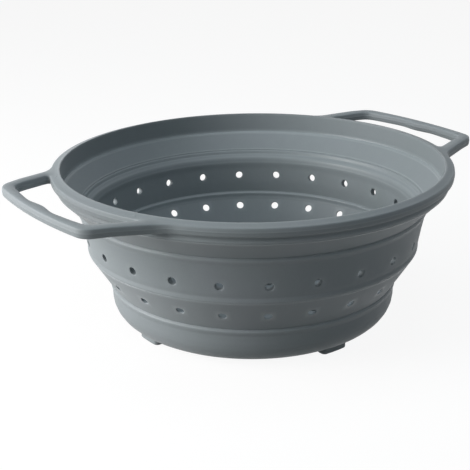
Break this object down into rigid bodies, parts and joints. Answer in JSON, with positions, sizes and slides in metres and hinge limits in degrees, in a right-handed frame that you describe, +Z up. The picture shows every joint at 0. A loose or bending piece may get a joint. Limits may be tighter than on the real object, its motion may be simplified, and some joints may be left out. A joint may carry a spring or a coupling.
{
  "type": "collapsible colander",
  "caption": "Round collapsible silicone colander with two loop handles, stepped perforated wall that folds flat in two stages, and small feet.",
  "frame": {"origin": "on the table under the middle of the open bowl", "axes": "+Z up along the bowl's axis, +X towards the right handle, -X towards the left handle"},
  "size_m": [0.292, 0.24, 0.0981],
  "materials": {
    "silicone": "matte slate grey food-grade silicone",
    "frame_plastic": "glass-filled nylon, sealed inside the rim and handles"
  },
  "bodies": {
    "base": {"base_bowl": "silicone", "lower_fold_web": "silicone", "foot_right": "silicone", "foot_back": "silicone", "foot_left": "silicone", "foot_front": "silicone"},
    "middle": {"middle_ring": "silicone", "upper_fold_web": "silicone"},
    "rim": {"rim_collar": "silicone", "left_handle": "silicone", "right_handle": "silicone", "stiffening_frame": "frame_plastic"}
  },
  "joints": [
    {"name": "lower_fold", "type": "slide", "parent": "base", "child": "middle", "axis": [0, 0, -1], "range_m": [0, 0.0439], "deforming": ["lower_fold_web"]},
    {"name": "upper_fold", "type": "slide", "parent": "middle", "child": "rim", "axis": [0, 0, -1], "range_m": [0, 0.0281], "deforming": ["upper_fold_web"]}
  ]
}
